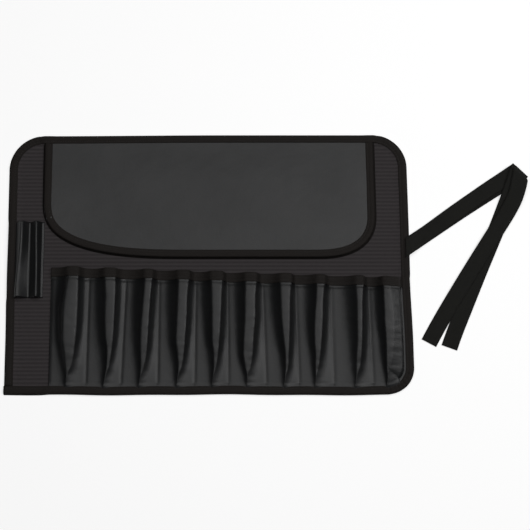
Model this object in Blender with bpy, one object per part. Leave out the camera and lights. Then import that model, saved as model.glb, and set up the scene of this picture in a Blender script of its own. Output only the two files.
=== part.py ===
"""A tool roll, unrolled and lying flat. A cloth base bound with tape carries a plain vinyl flap, one
pleated vinyl sheet that makes ten pockets, a strip of two pen loops and two folded tie straps.
Metres, +Z up, +Y towards the flap's hinge. The origin is in the middle of the base's underside."""

import math
from collections import namedtuple

import bmesh
import bpy
from mathutils import Vector

# The roll lying open
ROLL_WIDTH = 0.522
ROLL_HEIGHT = 0.343
ROLL_LEAN = 0.0026  # how much further left the top edge lies than the bottom edge
TOP_LEFT_RADIUS = 0.040
TOP_RIGHT_RADIUS = 0.039
BOTTOM_RIGHT_RADIUS = 0.030

# Sheet and tape thicknesses, and the clearance that pieces keep where they touch
CLOTH = 0.0012
VINYL = 0.0010
TAPE = 0.0010
WEBBING = 0.0012
GAP = 0.0003

# Edge binding: tape folded over the edge
BINDING_SHOWS = 0.0104
BINDING_OVERRUN = 0.0025  # how far the bottom tape's cut end stands out past the left edge
SETTLE_START = 0.0003  # past the binding, where a sheet starts to come down from the tape under it
SETTLE_RUN = 0.0015

# Flap
FLAP_WIDTH = 0.435
FLAP_FROM_LEFT = 0.045
FLAP_DROP = 0.166
FLAP_BINDING_SHOWS = 0.0107
FLAP_LEFT_REACH = 0.200
FLAP_LEFT_RISE = 0.080
FLAP_LEFT_FULLNESS = 2.85
FLAP_RIGHT_REACH = 0.080
FLAP_RIGHT_RISE = 0.060
FLAP_RIGHT_FULLNESS = 2.5

# Pockets
POCKETS_FROM_LEFT = 0.058
POCKET_DEPTH_LEFT = 0.1645
POCKET_DEPTH_RIGHT = 0.1498
MOUTH_TAPE_SHOWS = 0.0124
PLEAT_RISE = 0.0135

# Pen loops
LOOP_FROM_TOP = 0.1176
LOOP_LENGTH = 0.1006
LOOP_PITCH = 0.0184
LOOP_LAND = 0.0026  # flat strip that is sewn down beside a loop
LOOP_RISE = 0.0088

# Tie straps
TIE_WIDTH = 0.020
TIE_LAP = 0.0040  # how far the straps lie over the right binding
TIE_FROM_TOP = 0.1517
TIE_IN_LENGTH = 0.1820
TIE_IN_BEARING = 33.3
TIE_FOLD_BEARING = -39.0
TIE_FAN = 0.0018  # how far each strap strays from the line between the roll and the fold
TIE_A_LENGTH = 0.258
TIE_B_LENGTH = 0.2545
TIE_FALL = 0.026  # run over which a strap comes down onto what lies under it
TIE_SPLIT = 0.178  # from the fold to where strap a has left strap b

Colour = namedtuple("Colour", "red green blue roughness")
CLOTH_COLOUR = Colour(0.036, 0.032, 0.033, 0.85)
VINYL_COLOUR = Colour(0.024, 0.025, 0.026, 0.45)
TAPE_COLOUR = Colour(0.014, 0.011, 0.010, 0.80)
WEBBING_COLOUR = Colour(0.015, 0.015, 0.012, 0.75)

ARC_STEPS = 10
FOLD_STEPS = 8
LOOP_STEPS = 9

# Heights of the layers above the surface that the roll lies on
BASE_TOP = CLOTH
PRESSED = BASE_TOP + GAP  # underside of a sheet sewn straight onto the base
COVER = PRESSED + TAPE + GAP  # underside of a sheet whose edge tape lies under it
COVER_TOP = COVER + VINYL
RIM_TOP = COVER_TOP + GAP + TAPE
HALF_WIDTH = ROLL_WIDTH / 2
HALF_HEIGHT = ROLL_HEIGHT / 2
IN_TAPE = TAPE + GAP  # how far a sheet's edge lies inside the fold of its tape
SETTLED = BINDING_SHOWS + SETTLE_START + SETTLE_RUN + 3 * GAP  # from the edge, where covers lie flat

# A pleat's section, read from its left seam to the next one: along counts 0 to 1 up to the crest, 1 to 2
# across the crest and 2 to 3 down to the next seam, and height is a share of the pleat's rise.
PleatPoint = namedtuple("PleatPoint", "along height")
PLEAT = (
    PleatPoint(0.00, 0.00),
    PleatPoint(0.30, 0.05),
    PleatPoint(0.62, 0.27),
    PleatPoint(0.88, 0.70),
    PleatPoint(1.00, 0.96),
    PleatPoint(1.50, 1.03),
    PleatPoint(2.00, 1.00),
    PleatPoint(2.28, 0.60),
    PleatPoint(2.62, 0.12),
    PleatPoint(2.80, 0.01),
)

# Each pocket's left seam as a share of the panel's width, the crest's two sides as shares of the pocket
# at the mouth, a third of the way down and two thirds down, the crease at the foot, and its rise.
Pocket = namedtuple(
    "Pocket", "seam_mouth seam_foot mouth_l mouth_r middle_l middle_r low_l low_r crease rise"
)
POCKETS = (
    Pocket(0.000, 0.000, 0.45, 0.73, 0.36, 0.75, 0.41, 0.72, 0.46, 1.04),
    Pocket(0.109, 0.105, 0.44, 0.73, 0.47, 0.73, 0.57, 0.73, 0.50, 0.96),
    Pocket(0.215, 0.204, 0.59, 0.82, 0.52, 0.74, 0.53, 0.68, 0.49, 1.00),
    Pocket(0.310, 0.308, 0.54, 0.84, 0.52, 0.79, 0.52, 0.74, 0.51, 0.98),
    Pocket(0.415, 0.413, 0.52, 0.86, 0.55, 0.82, 0.60, 0.75, 0.51, 1.00),
    Pocket(0.506, 0.509, 0.54, 0.86, 0.50, 0.78, 0.46, 0.70, 0.48, 0.95),
    Pocket(0.607, 0.617, 0.52, 0.85, 0.52, 0.78, 0.62, 0.74, 0.53, 1.00),
    Pocket(0.702, 0.710, 0.64, 0.85, 0.56, 0.78, 0.54, 0.70, 0.47, 0.97),
    Pocket(0.804, 0.809, 0.68, 0.87, 0.64, 0.85, 0.61, 0.78, 0.53, 1.02),
    Pocket(0.911, 0.919, 0.54, 0.84, 0.58, 0.85, 0.55, 0.84, 0.44, 1.06),
)

# Rows down the panel below its mouth tape: depth is a share of the way to the bottom binding, height a
# share of the pleat's rise there.
PanelRow = namedtuple("PanelRow", "depth height")
PANEL_ROWS = (
    PanelRow(0.03, 1.00),
    PanelRow(0.14, 0.98),
    PanelRow(0.28, 0.93),
    PanelRow(0.42, 0.85),
    PanelRow(0.55, 0.75),
    PanelRow(0.67, 0.63),
    PanelRow(0.78, 0.50),
    PanelRow(0.87, 0.38),
    PanelRow(0.92, 0.30),
    PanelRow(0.965, 0.22),
    PanelRow(1.00, 0.12),
)
CREST_DEPTHS = (0.0, 0.30, 0.62, 0.86, 1.0)  # where a pocket's mouth, middle, low, crease values hold
CREASE_WIDTH = 0.05  # share of a pocket that the crest still has where it becomes the crease

# Heading of each tail after the fold, in degrees, against the share of its length
Heading = namedtuple("Heading", "share degrees")
TIE_A_HEADINGS = (
    Heading(0.0, 2 * TIE_FOLD_BEARING - TIE_IN_BEARING),
    Heading(0.12, -114.0),
    Heading(0.27, -123.5),
    Heading(0.50, -121.5),
    Heading(1.0, -120.0),
)
TIE_B_HEADINGS = (
    Heading(0.0, 2 * TIE_FOLD_BEARING - TIE_IN_BEARING),
    Heading(0.35, -113.0),
    Heading(1.0, -111.5),
)


def clear_scene():
    for thing in list(bpy.data.objects):
        bpy.data.objects.remove(thing, do_unlink=True)


def material(name, colour):
    made = bpy.data.materials.new(name)
    made.use_nodes = True
    shader = made.node_tree.nodes["Principled BSDF"]
    shader.inputs["Base Color"].default_value = (colour.red, colour.green, colour.blue, 1.0)
    shader.inputs["Roughness"].default_value = colour.roughness
    shader.inputs["Metallic"].default_value = 0.0
    return made


def leaned(x, y, z):
    """The point moved sideways by the lean that the whole roll lies with."""
    return Vector((x - ROLL_LEAN * y / ROLL_HEIGHT, y, z))


def mixed(low, high, share):
    return low + (high - low) * share


def eased(share):
    """0 to 1 with a soft start and end."""
    share = min(max(share, 0.0), 1.0)
    return share * share * (3 - 2 * share)


def read_off(places, values, at):
    """The value at a place, on straight lines through the given ones."""
    for low, high, first, last in zip(places, places[1:], values, values[1:]):
        if at <= high:
            return mixed(first, last, (at - low) / (high - low))
    return values[-1]


def add_piece(name, bm, look, thickness, offset=0.0):
    """An object from a sheet's mesh, thickened along its normals."""
    mesh = bpy.data.meshes.new(name)
    bm.to_mesh(mesh)
    bm.free()
    mesh.materials.append(look)
    mesh.shade_smooth()
    mesh.set_sharp_from_angle(angle=math.radians(40))
    piece = bpy.data.objects.new(name, mesh)
    bpy.context.scene.collection.objects.link(piece)
    wall = piece.modifiers.new("Thickness", "SOLIDIFY")
    wall.thickness = thickness
    wall.offset = offset
    wall.use_even_offset = True
    wall.use_quality_normals = True
    return piece


def add_grid(name, columns, rows, place, look, thickness):
    """A sheet of columns by rows points, where place(column, row) says where each point lies."""
    bm = bmesh.new()
    bmesh.ops.create_grid(bm, x_segments=columns - 1, y_segments=rows - 1, size=0.5)
    for vert in bm.verts:
        column = round((vert.co.x + 0.5) * (columns - 1))
        row = round((vert.co.y + 0.5) * (rows - 1))
        vert.co = place(column, row)
    return add_piece(name, bm, look, thickness)


def rim_corners(inset):
    """The three round corners of the roll, clockwise from the top left, moved in by inset."""
    points = []
    for across, up, radius, start in (
        (-1, 1, TOP_LEFT_RADIUS, 180),
        (1, 1, TOP_RIGHT_RADIUS, 90),
        (1, -1, BOTTOM_RIGHT_RADIUS, 0),
    ):
        centre = Vector((across * (HALF_WIDTH - radius), up * (HALF_HEIGHT - radius)))
        for step in range(ARC_STEPS + 1):
            angle = math.radians(start - 90 * step / ARC_STEPS)
            points.append(centre + (radius - inset) * Vector((math.cos(angle), math.sin(angle))))
    return points


def binding_path(inset):
    """The edge from above the bottom tape, up the left side and round to the bottom tape's cut end."""
    start = Vector((-HALF_WIDTH + inset, -HALF_HEIGHT + BINDING_SHOWS + GAP))
    end = Vector((-HALF_WIDTH - BINDING_OVERRUN, -HALF_HEIGHT + inset))
    return [start, *rim_corners(inset), end]


def flap_path(inset, top):
    """The flap's free edge from its left side's top at height top, round its foot and up again."""
    left = -HALF_WIDTH + FLAP_FROM_LEFT
    right = left + FLAP_WIDTH
    foot = HALF_HEIGHT - FLAP_DROP
    edge = [Vector((left, top))]
    for side, reach, rise, fullness, start in (
        (-1, FLAP_LEFT_REACH, FLAP_LEFT_RISE, FLAP_LEFT_FULLNESS, 0),
        (1, FLAP_RIGHT_REACH, FLAP_RIGHT_RISE, FLAP_RIGHT_FULLNESS, ARC_STEPS),
    ):
        centre = Vector((left + reach if side < 0 else right - reach, foot + rise))
        for step in range(ARC_STEPS + 1):
            angle = math.radians(90 * abs(start - step) / ARC_STEPS)
            along = math.cos(angle) ** (2 / fullness)
            down = math.sin(angle) ** (2 / fullness)
            edge.append(centre + Vector((side * reach * along, -rise * down)))
    edge.append(Vector((right, top)))
    return moved_in(edge, inset)


def moved_in(edge, inset):
    """An open edge moved by inset to its left, as one walks along it."""
    points = []
    for index, point in enumerate(edge):
        before = (point - edge[max(index - 1, 0)]).normalized()
        after = (edge[min(index + 1, len(edge) - 1)] - point).normalized()
        along = (before + after).normalized()
        stretch = 1 / max(along.dot(after if after.length else before), 0.5)
        points.append(point + Vector((-along.y, along.x)) * inset * stretch)
    return points


def add_channel(name, path, shows, low, high, look):
    """Tape folded over an edge: path(inset) is the edge, low and high the undersides of its two legs."""
    insets = (shows, TAPE / 2, TAPE / 2, shows)
    heights = (low + TAPE / 2, low + TAPE / 2, high + TAPE / 2, high + TAPE / 2)
    lines = [path(inset) for inset in insets]

    def place(column, row):
        point = lines[row][column]
        return leaned(point.x, point.y, heights[row])

    return add_grid(name, len(lines[0]), len(insets), place, look, TAPE)


def add_base_panel(look):
    """The cloth base, raised at its rim by the tape that lies under it."""
    bm = bmesh.new()
    square = Vector((-HALF_WIDTH + IN_TAPE, -HALF_HEIGHT + IN_TAPE))
    outline = [square, *rim_corners(IN_TAPE)]
    ring = [bm.verts.new((point.x, point.y, IN_TAPE)) for point in reversed(outline)]
    sheet = bm.faces.new(ring)
    to_slope = BINDING_SHOWS + SETTLE_START - IN_TAPE
    for width in (to_slope, SETTLE_RUN):
        bm.normal_update()
        bmesh.ops.inset_region(
            bm, faces=[sheet], thickness=width, use_even_offset=True, use_boundary=True
        )
    for vert in sheet.verts:
        vert.co.z = 0.0
    for vert in bm.verts:
        vert.co = leaned(*vert.co)
    return add_piece("base_panel", bm, look, CLOTH, offset=1.0)


def add_flap(look):
    bm = bmesh.new()
    level = COVER + VINYL / 2
    outline = flap_path(IN_TAPE, HALF_HEIGHT - IN_TAPE)
    bm.faces.new([bm.verts.new(leaned(point.x, point.y, level)) for point in outline])
    return add_piece("flap", bm, look, VINYL)


def panel_left():
    return -HALF_WIDTH + POCKETS_FROM_LEFT


def panel_right():
    """Where the last pocket ends and the panel starts to rise into the right binding."""
    return HALF_WIDTH - SETTLED


def mouth_y(x):
    """Height of the mouth tape's upper edge."""
    share = (x - panel_left()) / (HALF_WIDTH - panel_left())
    return -HALF_HEIGHT + mixed(POCKET_DEPTH_LEFT, POCKET_DEPTH_RIGHT, share)


def crest_sides(pocket, depth):
    """The crest's left and right side as shares of the pocket, at a depth from 0 at the mouth to 1."""
    half = CREASE_WIDTH / 2
    tip = mixed(pocket.low_l, pocket.crease, 0.7)
    lefts = (pocket.mouth_l, pocket.middle_l, pocket.low_l, tip - half, pocket.crease - half)
    rights = (pocket.mouth_r, pocket.middle_r, pocket.low_r, tip + half, pocket.crease + half)
    return read_off(CREST_DEPTHS, lefts, depth), read_off(CREST_DEPTHS, rights, depth)


def pleat_columns(depth):
    """Each column's place across the panel and its height as a share of PLEAT_RISE, at one depth."""
    seams = [mixed(pocket.seam_mouth, pocket.seam_foot, depth) for pocket in POCKETS] + [1.0]
    columns = []
    for pocket, start, end in zip(POCKETS, seams, seams[1:]):
        left, right = crest_sides(pocket, depth)
        for point in PLEAT:
            share = read_off((0, 1, 2, 3), (0.0, left, right, 1.0), point.along)
            across = mixed(start, end, share)
            columns.append((mixed(panel_left(), panel_right(), across), pocket.rise * point.height))
    columns.append((panel_right(), 0.0))
    columns.append((panel_right() + SETTLE_RUN, 0.0))
    return columns


def round_the_corner(x, y):
    """A square grid's point near the bottom right, moved so that the grid follows the round corner."""
    across = x - (HALF_WIDTH - BOTTOM_RIGHT_RADIUS)
    down = -y - (HALF_HEIGHT - BOTTOM_RIGHT_RADIUS)
    if min(across, down) <= 0:
        return x, y
    shrink = max(across, down) / math.hypot(across, down)
    return x + across * (shrink - 1), y - down * (shrink - 1)


def panel_sections():
    """The pocket panel from its mouth edge to its foot: for each row, its points across."""
    rows = []
    foot = -HALF_HEIGHT + SETTLED
    for below_mouth in (IN_TAPE, MOUTH_TAPE_SHOWS + 2 * GAP):
        rows.append([(x, mouth_y(x) - below_mouth, COVER, height) for x, height in pleat_columns(0.0)])
    for row in PANEL_ROWS:
        section = []
        for x, height in pleat_columns(row.depth):
            y = mixed(mouth_y(x) - MOUTH_TAPE_SHOWS, foot, row.depth)
            section.append((x, y, PRESSED, height * row.height))
        rows.append(section)
    for y in (foot - SETTLE_RUN, -HALF_HEIGHT + IN_TAPE + GAP):
        rows.append([(x, y, COVER, 0.0) for x, _ in pleat_columns(1.0)])
    return rows


def panel_point(x, y, level, height):
    """A point of the panel's middle surface, on its flat level or up on a pleat."""
    z = level + VINYL / 2 + PLEAT_RISE * height
    return leaned(*round_the_corner(x, y), z)


def add_pocket_panel(look):
    rows = panel_sections()
    in_binding = HALF_WIDTH - IN_TAPE - GAP
    count = len(rows[0])

    def place(column, row):
        if column == count:
            _, y, _, _ = rows[row][-1]
            return panel_point(in_binding, y, COVER, 0.0)
        x, y, level, height = rows[row][column]
        if column == count - 1:
            level = COVER
        return panel_point(x, y, level, height)

    return add_grid("pocket_panel", count + 1, len(rows), place, look, VINYL)


def add_pocket_mouth_tape(look):
    """Tape folded over the pockets' mouth edge, set off from the panel on both sides of it."""
    columns = pleat_columns(0.0)[:-1]
    line = [Vector((x, COVER + VINYL / 2 + PLEAT_RISE * height)) for x, height in columns]
    off = VINYL / 2 + GAP + TAPE / 2
    outer = moved_in(line, off)
    inner = moved_in(line, -off)

    def place(column, row):
        point = (inner, inner, outer, outer)[row][column]
        below_mouth = (MOUTH_TAPE_SHOWS, TAPE / 2, TAPE / 2, MOUTH_TAPE_SHOWS)[row]
        return leaned(point.x, mouth_y(line[column].x) - below_mouth, point.y)

    return add_grid("pocket_mouth_tape", len(line), 4, place, look, TAPE)


def loop_section():
    """The pen loops' strip from inside the left binding to its right edge, as x and height."""
    left = -HALF_WIDTH + BINDING_SHOWS + SETTLE_START
    in_binding = COVER + VINYL / 2
    sewn = PRESSED + VINYL / 2
    section = [(-HALF_WIDTH + IN_TAPE + GAP, in_binding)]
    feet = (
        (left, left + LOOP_PITCH - LOOP_LAND / 2, in_binding),
        (left + LOOP_PITCH + LOOP_LAND / 2, left + 2 * LOOP_PITCH, sewn),
    )
    lowest = math.radians(12)
    for start, end, foot in feet:
        for step in range(LOOP_STEPS + 1):
            share = step / LOOP_STEPS
            angle = mixed(lowest, math.pi - lowest, share)
            x = (start + end) / 2 - (end - start) / 2 * math.cos(angle) / math.cos(lowest)
            lift = (math.sin(angle) - math.sin(lowest)) / (1 - math.sin(lowest))
            section.append((x, mixed(foot, sewn, share) + LOOP_RISE * lift))
    section.append((left + 2 * LOOP_PITCH + LOOP_LAND, sewn))
    return section


def add_pen_loop_strip(look):
    section = loop_section()
    top = HALF_HEIGHT - LOOP_FROM_TOP

    def place(column, row):
        x, z = section[column]
        return leaned(x, top - LOOP_LENGTH * row, z)

    return add_grid("pen_loop_strip", len(section), 2, place, look, VINYL)


def layer_height(straps_below):
    """Height of a strap's middle when it lies on this many others."""
    return WEBBING / 2 + straps_below * (WEBBING + GAP)


def direction(degrees):
    return Vector((math.cos(math.radians(degrees)), math.sin(math.radians(degrees)), 0.0))


def section_across(heading, bearing):
    """Half of a strap's width, to its right, along a section that lies at a bearing."""
    slant = abs(math.sin(math.radians(bearing - heading)))
    return direction(bearing) * (TIE_WIDTH / 2 / slant)


def strap_to_fold(straps_below, fan):
    """Sections from the right binding, down to the surface and out to the fold."""
    root = leaned(HALF_WIDTH - TIE_LAP, HALF_HEIGHT - TIE_FROM_TOP, 0.0)
    square = TIE_IN_BEARING - 90
    on_rim = RIM_TOP + GAP + layer_height(straps_below)
    on_floor = layer_height(straps_below)
    leave = (TIE_LAP + 3 * GAP) / TIE_IN_LENGTH
    landed = leave + TIE_FALL / TIE_IN_LENGTH
    turns = ((0.0, landed, 0.5, 0.9, 1.0), (-90, -90, square, square, TIE_FOLD_BEARING))
    sideways = direction(TIE_IN_BEARING + 90) * fan
    sections = []
    for share in (0.0, *(mixed(leave, landed, step / 6) for step in range(7)), 0.35, 0.5, 0.7, 0.9, 1.0):
        along = direction(TIE_IN_BEARING) * TIE_IN_LENGTH * share
        centre = root + along + sideways * math.sin(math.pi * max(share - landed, 0.0) / (1 - landed))
        centre.z = mixed(on_rim, on_floor, eased((share - leave) / (landed - leave)))
        sections.append((centre, section_across(TIE_IN_BEARING, read_off(*turns, share))))
    return sections


def strap_fold(fold, straps_below, straps_after):
    """The turn about the fold's line, from the strap's lower run to its upper one."""
    low, high = layer_height(straps_below), layer_height(straps_after)
    radius = (high - low) / 2
    outward = direction(TIE_FOLD_BEARING + 90)
    across = section_across(TIE_IN_BEARING, TIE_FOLD_BEARING)
    sections = []
    for step in range(1, FOLD_STEPS + 1):
        angle = math.pi * step / FOLD_STEPS
        centre = fold + outward * radius * math.sin(angle)
        centre.z = (low + high) / 2 - radius * math.cos(angle)
        sections.append((centre, across))
    return sections


def strap_tail(fold, length, headings, falls):
    """Sections from the fold to the cut end. Each fall is where it starts and the layers it goes
    from and to."""
    shares = [step / 28 for step in range(1, 29)]
    centre = fold.copy()
    sections = []
    places = [heading.share for heading in headings]
    degrees = [heading.degrees for heading in headings]
    before = 0.0
    for share in shares:
        heading = read_off(places, degrees, (before + share) / 2)
        centre = centre + direction(heading) * length * (share - before)
        here = read_off(places, degrees, share)
        square = eased(share * length / TIE_FALL)
        bearing = mixed(TIE_FOLD_BEARING, here + 90, square)
        point = centre.copy()
        point.z = layer_height(falls[0][1])
        for start, _, after in falls:
            point.z = mixed(point.z, layer_height(after), eased((share * length - start) / TIE_FALL))
        sections.append((point, section_across(here, bearing)))
        before = share
    return sections


def add_strap(name, straps_below, fan, length, headings, falls, look):
    sections = strap_to_fold(straps_below, fan)
    fold = Vector((*sections[-1][0].xy, 0.0))
    sections += strap_fold(fold, straps_below, falls[0][1])
    sections += strap_tail(fold, length, headings, falls)

    def place(column, row):
        centre, across = sections[column]
        return centre + across * (1 - 2 * row)

    return add_grid(name, len(sections), 2, place, look, WEBBING)


def build():
    clear_scene()
    cloth = material("ribbed_cloth", CLOTH_COLOUR)
    flap_vinyl = material("flap_vinyl", VINYL_COLOUR)
    pocket_vinyl = material("pocket_vinyl", VINYL_COLOUR)
    loop_vinyl = material("loop_vinyl", VINYL_COLOUR)
    edge_tape = material("edge_tape", TAPE_COLOUR)
    flap_tape = material("flap_tape", TAPE_COLOUR)
    mouth_tape = material("mouth_tape", TAPE_COLOUR)
    strap_a = material("strap_a_webbing", WEBBING_COLOUR)
    strap_b = material("strap_b_webbing", WEBBING_COLOUR)

    over_tape = COVER_TOP + GAP
    add_base_panel(cloth)
    add_channel("edge_binding", binding_path, BINDING_SHOWS, 0.0, over_tape, edge_tape)
    add_flap(flap_vinyl)
    flap_top = HALF_HEIGHT - SETTLED
    add_channel(
        "flap_binding",
        lambda inset: flap_path(inset, flap_top),
        FLAP_BINDING_SHOWS,
        PRESSED,
        over_tape,
        flap_tape,
    )
    add_pocket_panel(pocket_vinyl)
    add_pocket_mouth_tape(mouth_tape)
    add_pen_loop_strip(loop_vinyl)
    clear = TIE_FALL + 0.008
    a_falls = ((clear + 2 * WEBBING, 3, 1), (TIE_SPLIT, 1, 0))
    b_falls = ((clear, 2, 0),)
    add_strap("tie_strap_a", 0, -TIE_FAN, TIE_A_LENGTH, TIE_A_HEADINGS, a_falls, strap_a)
    add_strap("tie_strap_b", 1, TIE_FAN, TIE_B_LENGTH, TIE_B_HEADINGS, b_falls, strap_b)


build()
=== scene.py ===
"""Looks of the tool roll: ribbed cloth, bound edges, vinyl flap and pleated pockets, pen loops, tie
straps and their stitching, on a pale floor in soft studio light."""

import math
from collections import namedtuple

import bmesh
import bpy
import numpy as np
from mathutils import Matrix, Vector, noise


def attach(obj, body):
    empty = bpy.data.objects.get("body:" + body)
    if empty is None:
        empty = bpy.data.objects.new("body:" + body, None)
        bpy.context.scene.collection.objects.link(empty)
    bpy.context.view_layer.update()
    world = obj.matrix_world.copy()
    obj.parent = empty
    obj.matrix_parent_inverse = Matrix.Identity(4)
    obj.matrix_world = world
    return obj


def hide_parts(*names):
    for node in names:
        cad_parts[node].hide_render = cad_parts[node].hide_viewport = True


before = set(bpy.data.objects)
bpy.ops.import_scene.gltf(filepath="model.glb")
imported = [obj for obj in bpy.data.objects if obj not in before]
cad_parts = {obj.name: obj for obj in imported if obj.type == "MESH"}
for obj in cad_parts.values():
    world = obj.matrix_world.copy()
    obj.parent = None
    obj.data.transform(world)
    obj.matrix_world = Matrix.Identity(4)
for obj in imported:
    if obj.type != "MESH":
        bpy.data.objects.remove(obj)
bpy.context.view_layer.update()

# The roll lying open
ROLL_WIDTH = 0.522
ROLL_HEIGHT = 0.343
ROLL_LEAN = 0.0026
TOP_LEFT_RADIUS = 0.046
TOP_RIGHT_RADIUS = 0.0435
BOTTOM_RIGHT_RADIUS = 0.035
LOW_LEFT_IN = 0.0020
LOW_RIGHT_OUT = 0.0028
TOP_LEFT_SAG = 0.0013
EDGE_SWAY = 0.0003
BOTTOM_WAVE = 0.00045
BOTTOM_RIPPLE = 0.00030
HALF_WIDTH = ROLL_WIDTH / 2
HALF_HEIGHT = ROLL_HEIGHT / 2

# Thicknesses, and the heights at which sheets lie over each other
CLOTH = 0.0011
VINYL = 0.0009
TAPE = 0.0007
WEBBING = 0.0012
RIM_LIFT = 0.0012  # the base's rise over the tape under its edge
PRESSED = 0.0020  # middle of a sheet sewn straight onto the base
COVER = 0.0033  # middle of a sheet that lies over its edge tape

# Edge binding
BINDING_SHOWS = 0.0104
BINDING_OVERRUN = 0.0012

# Flap
FLAP_WIDTH = 0.435
FLAP_FROM_LEFT = 0.045
FLAP_DROP = 0.166
FLAP_BINDING_SHOWS = 0.0107
FLAP_LEFT_REACH = 0.200
FLAP_LEFT_RISE = 0.080
FLAP_LEFT_FULLNESS = 2.85
FLAP_RIGHT_REACH = 0.080
FLAP_RIGHT_RISE = 0.060
FLAP_RIGHT_FULLNESS = 2.5

# Pockets
POCKETS_FROM_LEFT = 0.058
POCKET_DEPTH_LEFT = 0.1645
POCKET_DEPTH_RIGHT = 0.1498
MOUTH_TAPE_SHOWS = 0.0124
PLEAT_RISE = 0.0135
PANEL_SETTLED = 0.0131  # from the roll's edge, where the panel lies flat before its binding

# Pen loops
LOOP_FROM_TOP = 0.1176
LOOP_LENGTH = 0.1006
LOOP_PITCH = 0.0184
LOOP_LAND = 0.0026
LOOP_RISE = 0.0090

# Tie straps
TIE_WIDTH = 0.021
TIE_LAP = 0.0040
TIE_FROM_TOP = 0.1528
TIE_IN_LENGTH = 0.1822
TIE_FOLD_BEARING = -45.0
TIE_FAN = 0.0026
TIE_A_LENGTH = 0.258
TIE_B_LENGTH = 0.2535
TIE_FALL = 0.026
TIE_SPLIT = 0.174
TIE_LAYER = 0.0015
TIE_ON_RIM = 0.0060
TIE_PUFF = 0.0042  # the fold's rise, because stiff webbing never folds flat
TIE_PUFF_RUN = 0.034
TIE_TURN = 0.040

Pocket = namedtuple("Pocket", "seam_mouth seam_foot lefts rights crease rise")
PLEAT_DEPTHS = (0.0, 0.15, 0.35, 0.55, 0.70, 0.82, 0.90, 1.0)
POCKETS = (
    Pocket(
        0.000, 0.000,
        (0.48, 0.42, 0.36, 0.36, 0.42, 0.46),
        (0.75, 0.755, 0.75, 0.72, 0.67, 0.61),
        0.47, 1.04,
    ),
    Pocket(
        0.109, 0.105,
        (0.45, 0.48, 0.49, 0.53, 0.59, 0.585),
        (0.735, 0.755, 0.75, 0.74, 0.70, 0.645),
        0.51, 0.96,
    ),
    Pocket(
        0.215, 0.204,
        (0.59, 0.565, 0.53, 0.51, 0.525, 0.54),
        (0.82, 0.78, 0.745, 0.715, 0.685, 0.625),
        0.495, 1.00,
    ),
    Pocket(
        0.310, 0.308,
        (0.54, 0.53, 0.51, 0.49, 0.535, 0.56),
        (0.83, 0.79, 0.775, 0.735, 0.70, 0.645),
        0.515, 0.98,
    ),
    Pocket(
        0.415, 0.413,
        (0.50, 0.51, 0.52, 0.52, 0.565, 0.57),
        (0.86, 0.825, 0.79, 0.74, 0.69, 0.635),
        0.515, 1.00,
    ),
    Pocket(
        0.506, 0.509,
        (0.52, 0.49, 0.47, 0.425, 0.405, 0.45),
        (0.83, 0.78, 0.755, 0.685, 0.645, 0.585),
        0.48, 0.95,
    ),
    Pocket(
        0.607, 0.617,
        (0.53, 0.525, 0.53, 0.565, 0.60, 0.59),
        (0.86, 0.81, 0.775, 0.735, 0.695, 0.665),
        0.53, 1.00,
    ),
    Pocket(
        0.702, 0.710,
        (0.58, 0.55, 0.49, 0.465, 0.48, 0.465),
        (0.80, 0.745, 0.715, 0.66, 0.605, 0.545),
        0.445, 0.97,
    ),
    Pocket(
        0.804, 0.809,
        (0.64, 0.65, 0.64, 0.625, 0.59, 0.57),
        (0.84, 0.80, 0.775, 0.745, 0.705, 0.65),
        0.525, 1.02,
    ),
    Pocket(
        0.911, 0.919,
        (0.43, 0.43, 0.42, 0.435, 0.435, 0.435),
        (0.64, 0.68, 0.71, 0.685, 0.63, 0.545),
        0.43, 1.06,
    ),
)
PanelRow = namedtuple("PanelRow", "depth height")
PANEL_ROWS = (
    PanelRow(0.00, 1.00),
    PanelRow(0.14, 0.98),
    PanelRow(0.28, 0.93),
    PanelRow(0.42, 0.85),
    PanelRow(0.55, 0.75),
    PanelRow(0.67, 0.63),
    PanelRow(0.78, 0.50),
    PanelRow(0.87, 0.38),
    PanelRow(0.92, 0.30),
    PanelRow(0.965, 0.22),
    PanelRow(1.00, 0.12),
)
CREASE_WIDTH = 0.022
WALL_STEPS = 14
CREST_STEPS = 7
PLEAT_STEPS = 2 * WALL_STEPS + CREST_STEPS
SEAM_PUFF = 0.0008
TUCK_RISE = 0.004  # the most that the last pocket stands up just before the right binding

# Stitches
STITCH_PITCH = 0.0032
STITCH_LENGTH = 0.0023
STITCH_WIDTH = 0.00045
SEAM_STITCH_LENGTH = 0.0025
SEAM_STITCH_WIDTH = 0.0008

Heading = namedtuple("Heading", "share degrees")
TIE_IN_HEADINGS = (Heading(0.0, 35.6), Heading(0.5, 34.6), Heading(1.0, 31.6))
TIE_A_HEADINGS = (
    Heading(0.0, -99.0),
    Heading(0.05, -101.0),
    Heading(0.107, -108.0),
    Heading(0.16, -117.0),
    Heading(0.25, -123.0),
    Heading(0.45, -123.0),
    Heading(0.80, -121.5),
    Heading(1.0, -118.5),
)
TIE_B_HEADINGS = (
    Heading(0.0, -108.5),
    Heading(0.10, -110.0),
    Heading(0.25, -112.0),
    Heading(0.39, -114.0),
    Heading(0.60, -113.3),
    Heading(0.85, -113.0),
    Heading(1.0, -110.0),
)


def eased(share):
    share = np.clip(share, 0.0, 1.0)
    return share * share * (3 - 2 * share)


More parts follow.
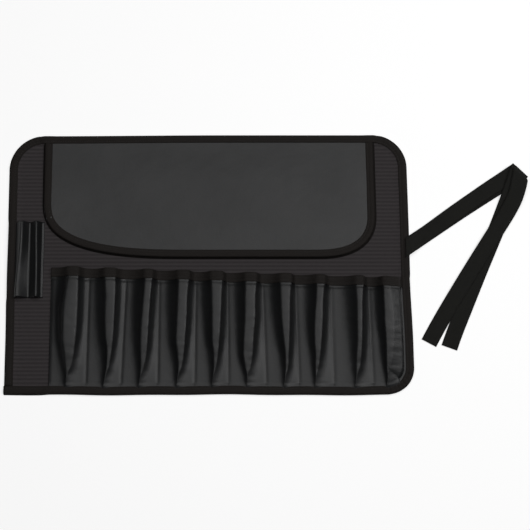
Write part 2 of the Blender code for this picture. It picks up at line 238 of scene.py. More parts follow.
def smooth_read(places, values, at):
    """Values at places, on a curve through the given ones that never overshoots them."""
    places = np.asarray(places, float)
    values = np.asarray(values, float)
    steps = np.diff(places)
    slopes = np.diff(values) / steps
    tangents = np.concatenate([[slopes[0]], (slopes[1:] + slopes[:-1]) / 2, [slopes[-1]]])
    turning = np.concatenate([[False], slopes[1:] * slopes[:-1] <= 0, [False]])
    tangents[turning] = 0.0
    limit = 3 * np.minimum(
        np.abs(np.concatenate([slopes[:1], slopes])), np.abs(np.concatenate([slopes, slopes[-1:]]))
    )
    tangents = np.clip(tangents, -limit, limit)
    index = np.clip(np.searchsorted(places, at) - 1, 0, len(steps) - 1)
    share = np.clip((at - places[index]) / steps[index], 0.0, 1.0)
    rise = share * share * (3 - 2 * share)
    pull_low = share * (1 - share) ** 2 * steps[index] * tangents[index]
    pull_high = -share * share * (1 - share) * steps[index] * tangents[index + 1]
    return values[index] + (values[index + 1] - values[index]) * rise + pull_low + pull_high


def settled(points):
    """Points as the roll really lies: leaned a little, its edges not quite straight."""
    lying = np.array(points, float)
    x, y = points[..., 0], points[..., 1]
    low = eased((-y - 0.06) / 0.11)
    left_in = LOW_LEFT_IN * eased((-x - 0.20) / 0.055)
    right_out = LOW_RIGHT_OUT * eased((x - 0.20) / 0.055)
    spread_low = eased(-y / 0.11) * (left_in + right_out)
    sway = EDGE_SWAY * np.sin(23 * y + 0.8) * eased(np.abs(x) / 0.26)
    lying[..., 0] = x - ROLL_LEAN * y / ROLL_HEIGHT + spread_low + sway
    sag_left = TOP_LEFT_SAG * eased((0.02 - x) / 0.24) * eased((y + 0.02) / 0.18)
    waves = BOTTOM_WAVE * np.sin(24 * x + 1.1) + BOTTOM_RIPPLE * np.sin(61 * x)
    lying[..., 1] = y - sag_left + low * waves
    return lying


def lines_uv(points):
    """Lengths along a sheet's rows and columns, as a tailor would measure them."""
    across = np.linalg.norm(np.diff(points, axis=1), axis=2).mean(axis=0)
    down = np.linalg.norm(np.diff(points, axis=0), axis=2).mean(axis=1)
    return np.concatenate([[0], np.cumsum(across)]), np.concatenate([[0], np.cumsum(down)])


def new_piece(name, bm, look, node):
    mesh = bpy.data.meshes.new(name)
    bm.to_mesh(mesh)
    bm.free()
    mesh.materials.append(look)
    mesh.shade_smooth()
    piece = bpy.data.objects.new(name, mesh)
    bpy.context.scene.collection.objects.link(piece)
    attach(piece, "root")
    if node:
        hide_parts(node)
    return piece


def sheet_piece(name, points, thickness, look, node):
    """A thick sheet whose middle surface runs through rows and columns of points."""
    rows, columns = points.shape[:2]
    along, down = lines_uv(points)
    bm = bmesh.new()
    bmesh.ops.create_grid(bm, x_segments=columns - 1, y_segments=rows - 1, size=0.5)
    cut = bm.loops.layers.uv.new("cut")
    for vert in bm.verts:
        column = round((vert.co.x + 0.5) * (columns - 1))
        row = round((vert.co.y + 0.5) * (rows - 1))
        vert.index = column + columns * row
    for face in bm.faces:
        for loop in face.loops:
            row, column = divmod(loop.vert.index, columns)
            loop[cut].uv = (along[column], down[row])
    for vert in bm.verts:
        row, column = divmod(vert.index, columns)
        vert.co = points[row, column]
    piece = new_piece(name, bm, look, node)
    wall = piece.modifiers.new("Thickness", "SOLIDIFY")
    wall.thickness = thickness
    wall.offset = 0.0
    wall.use_even_offset = True
    wall.use_quality_normals = True
    return piece


def surface_normals(points):
    """Unit normals of a grid of points, upwards on the whole."""
    across = np.gradient(points, axis=1)
    down = np.gradient(points, axis=0)
    normals = np.cross(across, down)
    normals /= np.linalg.norm(normals, axis=2, keepdims=True) + 1e-12
    return normals if normals[..., 2].mean() > 0 else -normals


def stitch_row(bm, line, normals, pitch=STITCH_PITCH, length=STITCH_LENGTH, width=STITCH_WIDTH):
    """Stitches along a line of points, each a small bead of thread that dips in at its ends."""
    lengths = np.concatenate([[0], np.cumsum(np.linalg.norm(np.diff(line, axis=0), axis=1))])
    for place in np.arange(pitch / 2, lengths[-1] - length / 2, pitch):
        point = Vector([np.interp(place, lengths, line[:, axis]) for axis in range(3)])
        ahead = Vector([np.interp(place + length / 2, lengths, line[:, axis]) for axis in range(3)])
        up = Vector([np.interp(place, lengths, normals[:, axis]) for axis in range(3)]).normalized()
        along = (ahead - point).normalized()
        side = up.cross(along).normalized()
        turn = Matrix((along * length, side * width, up * width * 0.8)).transposed().to_4x4()
        bmesh.ops.create_uvsphere(
            bm, u_segments=6, v_segments=4, radius=0.5, matrix=Matrix.Translation(point) @ turn
        )


def rounded(x, y):
    """A square grid's points moved so that the grid follows the roll's three round corners."""
    x, y = np.array(x, float), np.array(y, float)
    for side_x, side_y, radius in (
        (-1, 1, TOP_LEFT_RADIUS),
        (1, 1, TOP_RIGHT_RADIUS),
        (1, -1, BOTTOM_RIGHT_RADIUS),
    ):
        across = side_x * x - (HALF_WIDTH - radius)
        up = side_y * y - (HALF_HEIGHT - radius)
        corner = (across > 0) & (up > 0)
        shrink = np.maximum(across, up) / np.maximum(np.hypot(across, up), 1e-9)
        x = np.where(corner, x + side_x * across * (shrink - 1), x)
        y = np.where(corner, y + side_y * up * (shrink - 1), y)
    return x, y


def spread(*stops):
    """Places through stops of (end, count), evenly between one end and the next."""
    places = [np.array([stops[0][0]])]
    for (start, _), (end, count) in zip(stops, stops[1:]):
        places.append(np.linspace(start, end, count + 1)[1:])
    return np.concatenate(places)


def base_points():
    edge_x = HALF_WIDTH - TAPE - 0.0003
    edge_y = HALF_HEIGHT - TAPE - 0.0003
    rim = BINDING_SHOWS + 0.0005
    across = spread((-edge_x, 0), (-HALF_WIDTH + rim, 5), (HALF_WIDTH - rim, 170), (edge_x, 5))
    up = spread((edge_y, 0), (HALF_HEIGHT - rim, 5), (-HALF_HEIGHT + rim, 110), (-edge_y, 5))
    x, y = np.meshgrid(across, up)
    inset = np.minimum(HALF_WIDTH - np.abs(x), HALF_HEIGHT - np.abs(y))
    z = CLOTH / 2 + RIM_LIFT * (1 - eased((inset - BINDING_SHOWS) / 0.004))
    x, y = rounded(x, y)
    return settled(np.stack([x, y, z], axis=2))


def rim_line(inset):
    """The roll's edge moved in by inset, from above the bottom tape round to its cut end."""
    points = [np.array([[-HALF_WIDTH + inset, -HALF_HEIGHT + BINDING_SHOWS + 0.0002]])]

    def straight(end, count):
        start = points[-1][-1]
        shares = np.linspace(0, 1, count + 1)[1:, None]
        points.append(start + (np.array(end) - start) * shares)

    for side_x, side_y, radius, start, count in (
        (-1, 1, TOP_LEFT_RADIUS, 180, 90),
        (1, 1, TOP_RIGHT_RADIUS, 90, 140),
        (1, -1, BOTTOM_RIGHT_RADIUS, 0, 90),
    ):
        centre = np.array([side_x * (HALF_WIDTH - radius), side_y * (HALF_HEIGHT - radius)])
        angles = np.radians(start - 90 * np.linspace(0, 1, 49))
        arc = centre + (radius - inset) * np.stack([np.cos(angles), np.sin(angles)], axis=1)
        straight(arc[0], count)
        points.append(arc[1:])
    straight((-HALF_WIDTH - BINDING_OVERRUN, -HALF_HEIGHT + inset), 150)
    return np.concatenate(points)


def layers_under_binding(x, y):
    """1 where another sheet lies over the base inside the binding, 0 where the base is alone."""
    flap_left = -HALF_WIDTH + FLAP_FROM_LEFT
    top = eased((y - HALF_HEIGHT + 0.02) / 0.008)
    flap_right = flap_left + FLAP_WIDTH
    flap = top * eased((x - flap_left + 0.010) / 0.010) * eased((flap_right + 0.010 - x) / 0.010)
    right = eased((x - HALF_WIDTH + 0.02) / 0.008)
    pockets_right = right * eased((mouth_y(HALF_WIDTH) + 0.006 - y) / 0.010)
    bottom = eased((-y - HALF_HEIGHT + 0.02) / 0.008)
    pockets_foot = bottom * eased((x - panel_left() + 0.010) / 0.012)
    left = eased((-x - HALF_WIDTH + 0.02) / 0.008)
    loop_top = HALF_HEIGHT - LOOP_FROM_TOP
    loop_low = loop_top - LOOP_LENGTH
    loops = left * eased((loop_top + 0.006 - y) / 0.010) * eased((y - loop_low + 0.006) / 0.010)
    mouth_middle = mouth_y(HALF_WIDTH) - MOUTH_TAPE_SHOWS / 2
    tapes = right * np.exp(-(((y - mouth_middle) / 0.0085) ** 4))
    for flap_edge in (flap_left, flap_right):
        inner = flap_edge + math.copysign(FLAP_BINDING_SHOWS / 2, x.mean() - flap_edge)
        tapes = tapes + top * np.exp(-(((x - inner) / 0.0075) ** 4))
    return np.clip(flap + pockets_right + pockets_foot + loops, 0, 1) + 0.8 * np.clip(tapes, 0, 1)


TAPE_LEG = (
    (0.0, 0.00000),
    (0.12, 0.00035),
    (0.25, 0.00055),
    (0.40, 0.00055),
    (0.52, 0.00035),
    (0.62, 0.00005),
    (0.70, -0.00012),
    (0.78, 0.00002),
    (0.87, 0.00010),
    (0.95, -0.00005),
    (1.0, -0.00035),
)
TAPE_STITCHES = -5  # the row of the leg's lowest points, where the thread pulls it down


def pucker_along(line):
    """Small puckers along a tape, strongest where it is eased round a corner."""
    lengths = np.concatenate([[0], np.cumsum(np.linalg.norm(np.diff(line, axis=0), axis=1))])
    along = np.diff(line, axis=0)
    turning = np.abs(np.diff(np.unwrap(np.arctan2(along[:, 1], along[:, 0]))))
    steps = np.maximum(lengths[2:] - lengths[:-2], 1e-6)
    bend = np.concatenate([[0], turning / steps, [0]])
    bend = np.convolve(bend, np.ones(5) / 5, "same")
    waves = np.sin(lengths * 1150 + 1.6 * np.sin(lengths * 210)) + 0.5 * np.sin(lengths * 560)
    return waves * (0.25 + 1.3 * eased(bend / 12))


def folded_tape_points(line_at, shows, low, high):
    """Tape folded over an edge. line_at(inset) is the edge; low and high are its legs' middles."""
    nose = np.radians(np.linspace(-80, 80, 7))
    lines = []
    reach = 0.0016
    for inset in (shows, shows * 0.6, reach):
        line = line_at(inset)
        lines.append(np.column_stack([line, low(line)]))
    for angle in nose:
        inset = reach * (1 - np.cos(angle)) + TAPE / 2
        line = line_at(inset)
        middle = (low(line) + high(line)) / 2
        half = (high(line) - low(line)) / 2
        lines.append(np.column_stack([line, middle + half * np.sin(angle)]))
    pucker = pucker_along(line_at(shows / 2))
    for share, rise in TAPE_LEG:
        inset = reach + (shows - reach) * share
        line = line_at(inset)
        z = high(line) + rise * (1 + 0.25 * pucker) + 0.00016 * pucker * math.sin(math.pi * share)
        lines.append(np.column_stack([line, z]))
    return np.stack(lines)


def edge_tape_points():
    def low(line):
        return np.full(len(line), TAPE / 2)

    def high(line):
        stack = CLOTH / 2 + RIM_LIFT + CLOTH / 2 + TAPE / 2 + 0.0002
        return stack + (VINYL + 0.0003) * layers_under_binding(line[:, 0], line[:, 1])

    return settled(folded_tape_points(rim_line, BINDING_SHOWS, low, high))


def flap_side(side, reach, rise, fullness, count=40):
    """One lower corner of the flap, from its side towards the middle."""
    left = -HALF_WIDTH + FLAP_FROM_LEFT
    centre_x = left + reach if side < 0 else left + FLAP_WIDTH - reach
    angles = np.radians(90 * np.linspace(0, 1, count))
    x = centre_x + side * reach * np.cos(angles) ** (2 / fullness)
    y = HALF_HEIGHT - FLAP_DROP + rise - rise * np.sin(angles) ** (2 / fullness)
    return np.stack([x, y], axis=1)


def flap_outline():
    """The flap's free edge, from its left top round its foot to its right top."""
    top = HALF_HEIGHT - 0.0035
    left = flap_side(-1, FLAP_LEFT_REACH, FLAP_LEFT_RISE, FLAP_LEFT_FULLNESS)
    right = flap_side(1, FLAP_RIGHT_REACH, FLAP_RIGHT_RISE, FLAP_RIGHT_FULLNESS)[::-1]
    edge = np.concatenate([[(left[0, 0], top)], left, right, [(right[-1, 0], top)]])
    lengths = np.concatenate([[0], np.cumsum(np.linalg.norm(np.diff(edge, axis=0), axis=1))])
    even = np.linspace(0, lengths[-1], 220)
    return np.stack([np.interp(even, lengths, edge[:, axis]) for axis in (0, 1)], axis=1)


def flap_line(inset):
    edge = flap_outline()
    along = np.gradient(edge, axis=0)
    along /= np.linalg.norm(along, axis=1, keepdims=True)
    return edge + np.stack([-along[:, 1], along[:, 0]], axis=1) * inset


def flap_lift(x, y):
    """How far the flap stands above its lowest lie: slack vinyl is never quite flat."""
    inner = eased((y - HALF_HEIGHT + FLAP_DROP) / 0.05) * eased((HALF_HEIGHT - 0.012 - y) / 0.05)
    wave = 0.5 + 0.5 * np.sin(19 * x + 9 * y + 0.6)
    ripple = 0.5 + 0.5 * np.sin(47 * x - 13 * y)
    fold = np.exp(-(((x - 0.112 - 0.06 * (y - 0.12)) / 0.010) ** 2)) * eased((y - 0.04) / 0.10)
    return inner * (0.0012 * wave + 0.0004 * ripple + 0.0005 * fold)


def flap_points():
    edge = flap_line(TAPE + 0.0004)
    x = edge[:, 0]
    order = np.argsort(x, kind="stable")
    x, low_y = x[order], edge[order, 1]
    keep = np.concatenate([[True], np.diff(x) > 1e-5])
    x, low_y = x[keep], low_y[keep]
    even = x[0] + (x[-1] - x[0]) * (1 - np.cos(np.linspace(0, math.pi, 120))) / 2
    low_y = np.interp(even, x, low_y)
    top_y = HALF_HEIGHT - TAPE - 0.0004
    shares = np.linspace(0, 1, 70)[:, None]
    y = top_y + (low_y[None, :] - top_y) * shares
    x = np.broadcast_to(even, y.shape)
    return settled(np.stack([x, y, COVER + flap_lift(x, y)], axis=2))


def flap_tape_points():
    def low(line):
        return np.full(len(line), PRESSED - VINYL / 2 + TAPE / 2)

    def high(line):
        return np.full(len(line), COVER + VINYL / 2 + TAPE / 2 + 0.0002)

    return settled(folded_tape_points(flap_line, FLAP_BINDING_SHOWS, low, high))


def panel_left():
    return -HALF_WIDTH + POCKETS_FROM_LEFT


def panel_right():
    return HALF_WIDTH - PANEL_SETTLED


def mouth_y(x):
    share = (x - panel_left()) / (HALF_WIDTH - panel_left())
    return -HALF_HEIGHT + POCKET_DEPTH_LEFT + (POCKET_DEPTH_RIGHT - POCKET_DEPTH_LEFT) * share


def crest_sides(pocket, depth):
    """Where a pleat's raised front starts and ends, as shares of the way between its seams."""
    half = CREASE_WIDTH / 2
    tip = pocket.crease + (pocket.lefts[-1] + pocket.rights[-1] - 2 * pocket.crease) * 0.25
    lefts = pocket.lefts + (tip - half, pocket.crease - half)
    rights = pocket.rights + (tip + half, pocket.crease + half)
    return smooth_read(PLEAT_DEPTHS, lefts, depth), smooth_read(PLEAT_DEPTHS, rights, depth)


def pleat_line(depth):
    """Columns across the panel at one depth: their places, rises as shares, and seam distances."""
    seams = [p.seam_mouth + (p.seam_foot - p.seam_mouth) * depth for p in POCKETS] + [1.0]
    width = panel_right() - panel_left()
    even = np.linspace(0, 1, WALL_STEPS + 1)
    gather = 0.45 * (1 - np.cos(math.pi * even)) / 2 + 0.55 * even
    across = np.linspace(0, 1, CREST_STEPS + 1)
    steep_left = 3.0 + 5.0 * depth**2
    steep_right = 3.6 - 1.0 * depth
    places, heights, from_seam = [], [], []
    for pocket, start, end in zip(POCKETS, seams, seams[1:]):
        left, right = crest_sides(pocket, depth)
        last = pocket is POCKETS[-1]
        crest_share = left + (right - left) * across[:-1]
        share = np.concatenate([gather[:-1] * left, crest_share, right + (1 - right) * gather])
        rising = 0.97 * (0.75 * gather**steep_left + 0.25 * gather**1.5)
        crest = 0.97 + 0.03 * across + 0.03 * np.sin(math.pi * across)
        falling = (1 - gather) ** steep_right
        falling = 0.72 * falling + 0.28 * (1 - gather) ** 1.5
        if last:
            slope = 0.62 + 0.38 * (1 - gather)
            tuck = np.sqrt(1 - (1 - np.clip((1 - gather) / 0.16, 0, 1)) ** 2)
            falling = slope * tuck
        height = np.concatenate([rising[:-1], crest[:-1], falling])
        height[1:-1] = height[1:-1] * 0.5 + (height[2:] + height[:-2]) * 0.25
        if not last:
            share, height = share[:-1], height[:-1]
        places.append(start + (end - start) * share)
        heights.append(height * pocket.rise)
        distance = np.minimum(share, 1 - share if not last else share) * (end - start) * width
        from_seam.append(distance)
    x = panel_left() + width * np.concatenate(places)
    return x, np.concatenate(heights), np.concatenate(from_seam)


def panel_points():
    """The pocket panel's middle surface from its mouth edge down to the fold of the bottom tape."""
    foot = -HALF_HEIGHT + BINDING_SHOWS
    depths = [row.depth for row in PANEL_ROWS]
    shares = [row.height for row in PANEL_ROWS]
    rows = []
    for below in np.linspace(TAPE + 0.0003, MOUTH_TAPE_SHOWS, 8):
        x, height, _ = pleat_line(0.0)
        rows.append((x, mouth_y(x) - below, np.full_like(x, COVER), height))
    for depth in np.linspace(0, 1, 84)[1:]:
        x, height, from_seam = pleat_line(depth)
        y = mouth_y(x) - MOUTH_TAPE_SHOWS
        y = y + (foot - y) * depth
        puff = SEAM_PUFF * (1 - np.exp(-((from_seam / 0.0022) ** 2))) * eased((1 - depth) / 0.05)
        lifted = max(1 - eased(depth / 0.04), eased((depth - 0.96) / 0.04))
        level = PRESSED + (COVER - PRESSED) * lifted
        rows.append((x, y, level + puff, height * smooth_read(depths, shares, depth)))
    for share in (0.25, 0.5, 1.0):
        x, height, _ = pleat_line(1.0)
        y = np.full_like(x, foot - (BINDING_SHOWS - TAPE - 0.0006) * share)
        fade = max(0.0, 1 - 3 * share)
        rows.append((x, y, np.full_like(x, COVER), height * shares[-1] * fade))
    points = []
    for x, y, level, height in rows:
        x = np.concatenate([x, panel_right() + np.array([0.0016, 0.0040, 0.0070, 0.0110])])
        y = np.concatenate([y, np.full(4, y[-1])])
        z = np.concatenate([level + PLEAT_RISE * height, np.full(4, COVER)])
        z[-6] = min(z[-6], COVER + TUCK_RISE)
        x, y = rounded(x, y)
        points.append(np.stack([x, y, z], axis=1))
    return crumpled(np.stack(points))


def crumpled(points):
    """Small slack creases in the pocket vinyl, least where it is sewn down."""
    slack = eased((points[..., 2] - PRESSED - 0.0006) / 0.006)
    for index in np.ndindex(points.shape[:2]):
        if slack[index] > 0.01:
            x, y, _ = points[index]
            across = noise.noise(Vector((x * 55, y * 130, 0.3)))
            fine = noise.noise(Vector((x * 160, y * 300, 7.1)))
            points[index + (2,)] += slack[index] * (0.00035 * across + 0.00012 * fine)
    return points


def evened(line):
    """A line cut into even steps, its sharp turns eased as thick tape eases them."""
    lengths = np.concatenate([[0], np.cumsum(np.linalg.norm(np.diff(line, axis=0), axis=1))])
    steps = np.linspace(0, lengths[-1], 421)
    eased_line = np.stack([np.interp(steps, lengths, line[:, axis]) for axis in range(3)], axis=1)
    for _ in range(3):
        eased_line[1:-1] = eased_line[1:-1] * 0.5 + (eased_line[2:] + eased_line[:-2]) * 0.25
    return eased_line


MOUTH_LEG = (
    (0.0016, 0.0),
    (0.0026, 0.00010),
    (0.0036, -0.00012),
    (0.0048, 0.00022),
    (0.0064, 0.00032),
    (0.0080, 0.00020),
    (0.0093, -0.00012),
    (0.0106, 0.00010),
    (0.0118, 0.00005),
    (MOUTH_TAPE_SHOWS, -0.00015),
)
MOUTH_STITCHES = (2, 6)  # the rows of the leg's lowest points


def mouth_tape_points(panel):
    """Tape folded over the pockets' mouth edge: its inner leg, its fold and its outer leg."""
    edge = evened(panel[0, : -1])
    below = evened(panel[7, : -1])
    along = np.gradient(edge, axis=0)
    normal = np.stack([-along[:, 2], np.zeros(len(along)), along[:, 0]], axis=1)
    normal /= np.linalg.norm(normal, axis=1, keepdims=True)
    off = VINYL / 2 + TAPE / 2 + 0.0002
    top = mouth_y(edge[:, 0])
    rows = []

    def row(side, from_mouth):
        share = np.clip((top - from_mouth - edge[:, 1]) / (below[:, 1] - edge[:, 1]), 0, 1)[:, None]
        point = edge + (below - edge) * share + normal * off * side
        point[:, 1] = top - from_mouth
        return point

    for from_mouth in (MOUTH_TAPE_SHOWS, MOUTH_TAPE_SHOWS * 0.5, 0.0016):
        rows.append(row(-1, from_mouth))
    for angle in np.radians(np.linspace(-70, 70, 6)):
        rows.append(row(math.sin(angle), TAPE / 2 + 0.0012 * (1 - math.cos(angle))))
    for from_mouth, rise in MOUTH_LEG:
        rows.append(row(1, from_mouth) + np.array([0.0, 0.0, rise]))
    return np.stack(rows)


def loop_points():
    left = -HALF_WIDTH + BINDING_SHOWS - 0.0004
    middle = left + LOOP_PITCH
    right = left + 2 * LOOP_PITCH
    top = HALF_HEIGHT - LOOP_FROM_TOP
    rows = []
    for down in np.linspace(0, 1, 56):
        y = top - LOOP_LENGTH * down
        flare = eased((down - 0.72) / 0.28)
        blunt = 0.16 + 0.10 * down + 0.45 * flare
        rise = LOOP_RISE * (0.94 + 0.10 * np.sin(7 * down + 0.4) + 0.05 * flare)
        section = [(-HALF_WIDTH + TAPE + 0.0006, COVER), (left - 0.004, COVER)]
        feet = (
            (left, middle - LOOP_LAND / 2, COVER, 0.03 - 0.27 * eased((down - 0.15) / 0.8)),
            (middle + LOOP_LAND / 2, right - 0.0026, PRESSED, 0.06 + 0.12 * eased(down)),
        )
        for start, end, foot, skew in feet:
            for across in np.linspace(-1, 1, 23):
                place = math.sin(across * math.pi / 2) * 0.35 + across * 0.65
                tent = math.hypot(1, blunt) - math.hypot(place, blunt)
                lift = tent / (math.hypot(1, blunt) - blunt)
                lift = lift * (1 - 0.25 * (1 - lift))
                x = (start + end) / 2 + (end - start) / 2 * place + skew * (end - start) * lift
                section.append((x, foot + (PRESSED - foot) * (across + 1) / 2 + rise * lift))
        section.append((right - 0.0014, PRESSED))
        section.append((right + 0.0004, PRESSED))
        rows.append([(x, y, z) for x, z in section])
    return settled(np.array(rows))


def direction(degrees):
    return np.array([math.cos(math.radians(degrees)), math.sin(math.radians(degrees)), 0.0])


def section_across(heading, bearing):
    slant = abs(math.sin(math.radians(bearing - heading)))
    return direction(bearing) * (TIE_WIDTH / 2 / slant)


def heading_at(headings, share):
    return float(np.interp(share, [h.share for h in headings], [h.degrees for h in headings]))


def strap_points(straps_below, fan, length, headings, falls):
    """A tie strap's middle surface: off the binding, out to its fold and back to its cut end."""
    root = np.array([HALF_WIDTH - TIE_LAP, HALF_HEIGHT - TIE_FROM_TOP, 0.0])
    low = WEBBING / 2 + straps_below * TIE_LAYER
    high = WEBBING / 2 + falls[0][1] * TIE_LAYER
    on_rim = TIE_ON_RIM - 0.0009 + straps_below * TIE_LAYER
    leave = (TIE_LAP + 0.0006) / TIE_IN_LENGTH
    landed = leave + TIE_FALL / TIE_IN_LENGTH
    sections = []
    middle = root
    before = 0.0
    for share in spread((0.0, 0), (leave, 4), (landed, 14), (1.0, 60)):
        heading = heading_at(TIE_IN_HEADINGS, (before + share) / 2)
        middle = middle + direction(heading) * TIE_IN_LENGTH * (share - before)
        before = share
        centre = middle + direction(heading + 90) * fan * max(share - landed, 0.0) / (1 - landed)
        centre[2] = on_rim + (low - on_rim) * float(eased((share - leave) / (landed - leave)))
        centre[2] += TIE_PUFF * float(eased((share - 0.84) / 0.16)) + slack_rise(share)
        square = heading - 90
        turns = ((0.0, landed, 0.5, 0.9, 1.0), (-90, -90, square, square, TIE_FOLD_BEARING))
        sections.append((centre, section_across(heading, float(np.interp(share, *turns)))))
    fold = sections[-1][0].copy()
    radius = (high - low) / 2
    for step in range(1, 13):
        angle = math.pi * step / 12
        centre = fold + direction(TIE_FOLD_BEARING + 90) * (radius + 0.0006) * math.sin(angle)
        centre[2] = TIE_PUFF + (low + high) / 2 - radius * math.cos(angle)
        heading = TIE_IN_HEADINGS[-1].degrees
        sections.append((centre, section_across(heading, TIE_FOLD_BEARING)))
    centre = fold
    before = 0.0
    for share in np.linspace(0, 1, 100)[1:]:
        step_heading = heading_at(headings, (before + share) / 2)
        centre = centre + direction(step_heading) * length * (share - before)
        here = heading_at(headings, share)
        turned = float(eased(share * length / TIE_TURN))
        bearing = TIE_FOLD_BEARING + (here + 90 - TIE_FOLD_BEARING) * turned
        point = centre.copy()
        point[2] = high + TIE_PUFF * (1 - float(eased(share * length / TIE_PUFF_RUN)))
        for start, _, after in falls:
            share_down = float(eased((share * length - start) / TIE_FALL))
            point[2] += (WEBBING / 2 + after * TIE_LAYER - point[2]) * share_down
        point[2] += slack_rise(share + 0.37)
        sections.append((point, section_across(here, bearing)))
        before = share
    across = np.linspace(1, -1, 9)
    return np.stack([[centre + side * half for centre, half in sections] for side in across])


def slack_rise(share):
    """Webbing that has been folded lies in long low waves, never below what carries it."""
    ends = float(eased(share / 0.25)) * float(eased((1.37 - share) / 0.2))
    return 0.0005 * (1 + math.sin(17 * share + 0.7)) * ends


def node_graph(name):
    look = bpy.data.materials.new(name)
    look.use_nodes = True
    tree = look.node_tree
    shader = tree.nodes["Principled BSDF"]

    def add(kind, values=(), **settings):
        node = tree.nodes.new(kind)
        for key, value in settings.items():
            setattr(node, key, value)
        for socket, value in values:
            if isinstance(value, bpy.types.NodeSocket):
                tree.links.new(value, node.inputs[socket])
            else:
                node.inputs[socket].default_value = value
        return node

    return look, shader, add, tree


def bumped(add, height, strength, distance, over=None):
    values = [("Height", height), ("Strength", strength), ("Distance", distance)]
    if over is not None:
        values.append(("Normal", over))
    return add("ShaderNodeBump", values).outputs["Normal"]


def blended(add, share, dark, light):
    values = (("Factor", share), ("A", dark), ("B", light))
    return add("ShaderNodeMix", values, data_type="RGBA").outputs["Result"]


def vinyl_look(name):
    """Black vinyl leathercloth: fine pebbled grain, soft wrinkles and a low gloss that varies."""
    look, shader, add, tree = node_graph(name)
    place = add("ShaderNodeTexCoord").outputs["Object"]
    pebbles = (("Vector", place), ("Scale", 1100.0))
    grain = add("ShaderNodeTexVoronoi", pebbles, feature="SMOOTH_F1").outputs["Distance"]
    wrinkles = (("Vector", place), ("Scale", 60.0), ("Detail", 3.0))
    slack = add("ShaderNodeTexNoise", wrinkles).outputs["Fac"]
    cloudy = (("Vector", place), ("Scale", 14.0), ("Detail", 2.0))
    patches = add("ShaderNodeTexNoise", cloudy).outputs["Fac"]
    fine = bumped(add, grain, 0.22, 0.0002)
    soft = bumped(add, slack, 0.25, 0.002, over=fine)
    gloss = add("ShaderNodeMapRange", (("Value", patches), ("To Min", 0.36), ("To Max", 0.50)))
    shade = blended(add, patches, (0.006, 0.0064, 0.0070, 1), (0.010, 0.0105, 0.0112, 1))
    tree.links.new(shade, shader.inputs["Base Color"])
    tree.links.new(gloss.outputs["Result"], shader.inputs["Roughness"])
    tree.links.new(soft, shader.inputs["Normal"])
    return look


def ribbed_cloth_look():
    """Matt woven cloth with fine ribs across the roll, with painted shade in the rib grooves."""
    look, shader, add, tree = node_graph("ribbed_cloth_look")
    place = add("ShaderNodeTexCoord").outputs["Object"]
    rib_rows = (
        ("Vector", place),
        ("Scale", 62.0),
        ("Distortion", 0.35),
        ("Detail", 1.0),
        ("Detail Scale", 2.0),
    )
    rows = add("ShaderNodeTexWave", rib_rows, bands_direction="Y").outputs["Fac"]
    yarn_rows = (("Vector", place), ("Scale", 210.0), ("Distortion", 0.3))
    weave = add("ShaderNodeTexWave", yarn_rows, bands_direction="X").outputs["Fac"]
    flecks = (("Vector", place), ("Scale", 420.0), ("Detail", 2.0))
    wear = add("ShaderNodeTexNoise", flecks).outputs["Fac"]
    ribs = bumped(add, rows, 0.7, 0.0006)
    yarns = bumped(add, weave, 0.4, 0.0003, over=ribs)
    # painted shade: the rib wave that drives the bump also darkens the colour in the grooves and
    # lightens it on the rib tops
    shade = blended(add, rows, (0.030, 0.026, 0.027, 1), (0.066, 0.058, 0.060, 1))
    worn = blended(add, wear, shade, (0.050, 0.044, 0.046, 1))
    tree.links.new(worn, shader.inputs["Base Color"])
    tree.links.new(yarns, shader.inputs["Normal"])
    shader.inputs["Roughness"].default_value = 0.85
    shader.inputs["Specular IOR Level"].default_value = 0.25
    return look


def tape_look(name, light, dark, rib_scale=250.0):
    """Narrow woven tape: fine ribs across its length, read from the tape's own cut."""
    look, shader, add, tree = node_graph(name)
    place = add("ShaderNodeTexCoord").outputs["UV"]
    rib_rows = (("Vector", place), ("Scale", rib_scale), ("Distortion", 0.2))
    ribs = add("ShaderNodeTexWave", rib_rows, bands_direction="X").outputs["Fac"]
    flecks = (("Vector", place), ("Scale", 900.0), ("Detail", 2.0))
    yarn = add("ShaderNodeTexNoise", flecks).outputs["Fac"]
    bump = bumped(add, ribs, 0.5, 0.0003)
    shade = blended(add, yarn, dark, light)
    tree.links.new(shade, shader.inputs["Base Color"])
    tree.links.new(bump, shader.inputs["Normal"])
    shader.inputs["Roughness"].default_value = 0.8
    shader.inputs["Specular IOR Level"].default_value = 0.3
    return look


def thread_look():
    look, shader, add, tree = node_graph("thread_look")
    place = add("ShaderNodeTexCoord").outputs["Object"]
    twist = add("ShaderNodeTexNoise", (("Vector", place), ("Scale", 1500.0))).outputs["Fac"]
    shade = blended(add, twist, (0.012, 0.011, 0.010, 1), (0.030, 0.028, 0.027, 1))
    tree.links.new(shade, shader.inputs["Base Color"])
    shader.inputs["Roughness"].default_value = 0.6
    return look


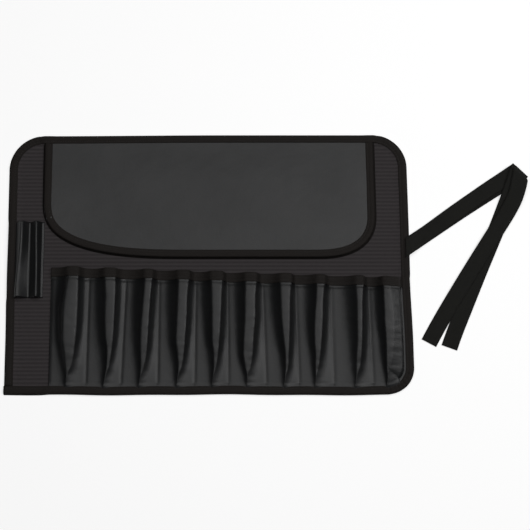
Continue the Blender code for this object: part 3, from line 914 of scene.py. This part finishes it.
def build_roll():
    vinyl = vinyl_look("flap_vinyl_look")
    pocket_vinyl = vinyl_look("pocket_vinyl_look")
    loop_vinyl = vinyl_look("loop_vinyl_look")
    binding = tape_look("edge_tape_look", (0.020, 0.016, 0.014, 1), (0.010, 0.008, 0.007, 1))
    light_web, dark_web = (0.018, 0.018, 0.015, 1), (0.008, 0.008, 0.007, 1)
    webbing = tape_look("webbing_look", light_web, dark_web, rib_scale=700.0)

    ribbed = ribbed_cloth_look()
    base = sheet_piece("base_cloth", base_points(), CLOTH, ribbed, "base_panel")

    edge = edge_tape_points()
    edge_piece = sheet_piece("edge_tape", edge, TAPE, binding, "edge_binding")

    flap = sheet_piece("flap_sheet", flap_points(), VINYL, vinyl, "flap")
    flap_edge = flap_tape_points()
    flap_tape = sheet_piece("flap_tape", flap_edge, TAPE, binding, "flap_binding")

    panel = panel_points()
    mouth = mouth_tape_points(panel)
    panel, mouth = settled(panel), settled(mouth)
    pockets = sheet_piece(
        "pocket_sheet", panel, VINYL, pocket_vinyl, "pocket_panel"
    )
    mouth_piece = sheet_piece("mouth_tape", mouth, TAPE, binding, "pocket_mouth_tape")

    loops = loop_points()
    loop_piece = sheet_piece("loop_strip", loops, VINYL, loop_vinyl, "pen_loop_strip")

    a_falls = ((TIE_FALL + 0.0104, 3, 1), (TIE_SPLIT, 1, 0))
    b_falls = ((TIE_FALL + 0.008, 2, 0),)
    strap_a = strap_points(0, -TIE_FAN, TIE_A_LENGTH, TIE_A_HEADINGS, a_falls)
    strap_b = strap_points(1, TIE_FAN, TIE_B_LENGTH, TIE_B_HEADINGS, b_falls)
    for name, points, slot, node in (
        ("strap_a", strap_a, "strap_a_webbing", "tie_strap_a"),
        ("strap_b", strap_b, "strap_b_webbing", "tie_strap_b"),
    ):
        piece = sheet_piece(name, points, WEBBING, webbing, node)

    add_stitching(edge, flap_edge, panel, mouth, loops)


def add_stitching(edge, flap_edge, panel, mouth, loops):
    thread = thread_look()

    def finish(name, bm):
        new_piece(name, bm, thread, None)

    bm = bmesh.new()
    normals = surface_normals(edge[-6:])
    stitch_row(bm, edge[TAPE_STITCHES] + normals[1] * TAPE / 2, normals[1])
    finish("edge_stitches", bm)

    bm = bmesh.new()
    normals = surface_normals(flap_edge[-6:])
    stitch_row(bm, flap_edge[TAPE_STITCHES] + normals[1] * TAPE / 2, normals[1])
    finish("flap_stitches", bm)

    bm = bmesh.new()
    leg = mouth[-len(MOUTH_LEG) :]
    normals = surface_normals(leg)
    for row in MOUTH_STITCHES:
        stitch_row(bm, leg[row] + normals[row] * TAPE / 2, normals[row])
    finish("mouth_stitches", bm)

    bm = bmesh.new()
    normals = surface_normals(panel)
    for index in range(len(POCKETS)):
        column = index * PLEAT_STEPS
        line = panel[8:-2, column] + normals[8:-2, column] * VINYL / 2
        if index == 0:
            line = line + np.array([0.0012, 0.0, 0.0])
        sewn = normals[8:-2, column]
        stitch_row(bm, line, sewn, length=SEAM_STITCH_LENGTH, width=SEAM_STITCH_WIDTH)
    finish("seam_stitches", bm)

    bm = bmesh.new()
    normals = surface_normals(loops)
    for row in (2, -3):
        stitch_row(bm, loops[row, 2:] + normals[row, 2:] * VINYL / 2, normals[row, 2:])
    finish("loop_stitches", bm)


def area_light(name, place, size_x, size_y, power, aim=(0.0, 0.0, 0.0)):
    lamp = bpy.data.lights.new(name, "AREA")
    lamp.shape = "RECTANGLE"
    lamp.size = size_x
    lamp.size_y = size_y
    lamp.energy = power
    light = bpy.data.objects.new(name, lamp)
    light.location = place
    light.rotation_euler = (Vector(aim) - Vector(place)).to_track_quat("-Z", "Y").to_euler()
    bpy.context.scene.collection.objects.link(light)


def build_studio():
    bm = bmesh.new()
    bmesh.ops.create_grid(bm, x_segments=8, y_segments=8, size=4.0)
    for vert in bm.verts:
        vert.co.z = -0.0002
    mesh = bpy.data.meshes.new("floor")
    bm.to_mesh(mesh)
    bm.free()
    floor = bpy.data.objects.new("floor", mesh)
    bpy.context.scene.collection.objects.link(floor)
    look, shader, _, _ = node_graph("floor_look")
    shader.inputs["Base Color"].default_value = (0.85, 0.85, 0.85, 1.0)
    shader.inputs["Roughness"].default_value = 0.9
    shader.inputs["Specular IOR Level"].default_value = 0.0
    shader.inputs["Emission Color"].default_value = (1.0, 1.0, 1.0, 1.0)
    shader.inputs["Emission Strength"].default_value = 0.55
    mesh.materials.append(look)

    world = bpy.data.worlds.new("studio")
    world.use_nodes = True
    world.node_tree.nodes["Background"].inputs["Color"].default_value = (0.012, 0.012, 0.012, 1.0)
    bpy.context.scene.world = world

    area_light("overhead", (-0.05, 0.35, 2.4), 2.5, 2.5, 25.0)
    area_light("right_key", (1.45, 0.3, 1.9), 0.6, 1.6, 13.0)

    camera = bpy.data.objects.new("camera", bpy.data.cameras.new("camera"))
    camera.data.lens = 83.6
    camera.location = (0.074, -0.3084, 1.5706)
    target = Vector((0.074, -0.0031, 0.0))
    camera.rotation_euler = (target - camera.location).to_track_quat("-Z", "Y").to_euler()
    bpy.context.scene.collection.objects.link(camera)
    bpy.context.scene.camera = camera
    bpy.context.scene.view_settings.view_transform = "Standard"


build_roll()
build_studio()
